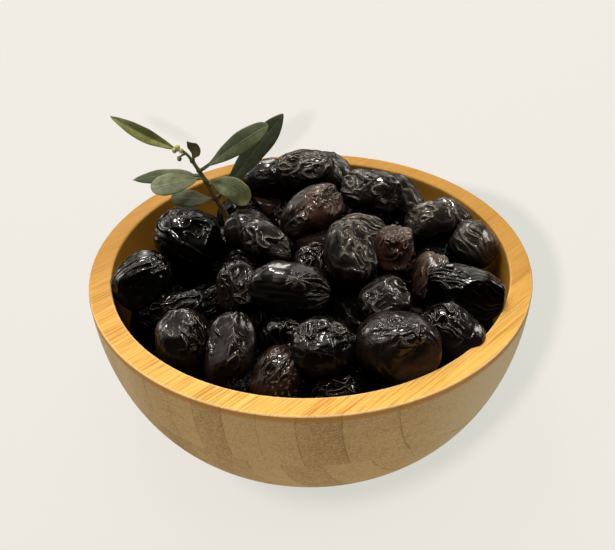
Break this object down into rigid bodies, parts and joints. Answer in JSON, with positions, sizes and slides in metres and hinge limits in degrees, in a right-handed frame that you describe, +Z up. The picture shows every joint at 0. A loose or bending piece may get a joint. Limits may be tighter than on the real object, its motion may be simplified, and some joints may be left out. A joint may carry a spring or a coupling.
{
  "type": "dish of olives",
  "caption": "Round turned bamboo bowl heaped with wrinkled, glossy dry-cured black olives, with a leafy olive sprig standing in the heap at the back",
  "frame": {"origin": "middle of the bowl's flat foot, on the surface that it stands on", "axes": "+Z up along the bowl's axis; -Y towards the viewer; +X to the viewer's right; the sprig stands on the -X +Y side"},
  "size_m": [0.15, 0.15, 0.1039],
  "materials": {
    "bamboo": "glued bamboo strips, turned and oiled, honey-coloured satin on the rim and inside, duller and greyer outside",
    "olive_skin": "oily wrinkled olive skin, near black with dark brown and reddish ones",
    "leaf": "grey-green olive leaves, satin, with a paler midrib, on a brown-green stem"
  },
  "bodies": {
    "root": {"bowl": "bamboo", "olives": "olive_skin", "sprig": "leaf"}
  },
  "joints": []
}
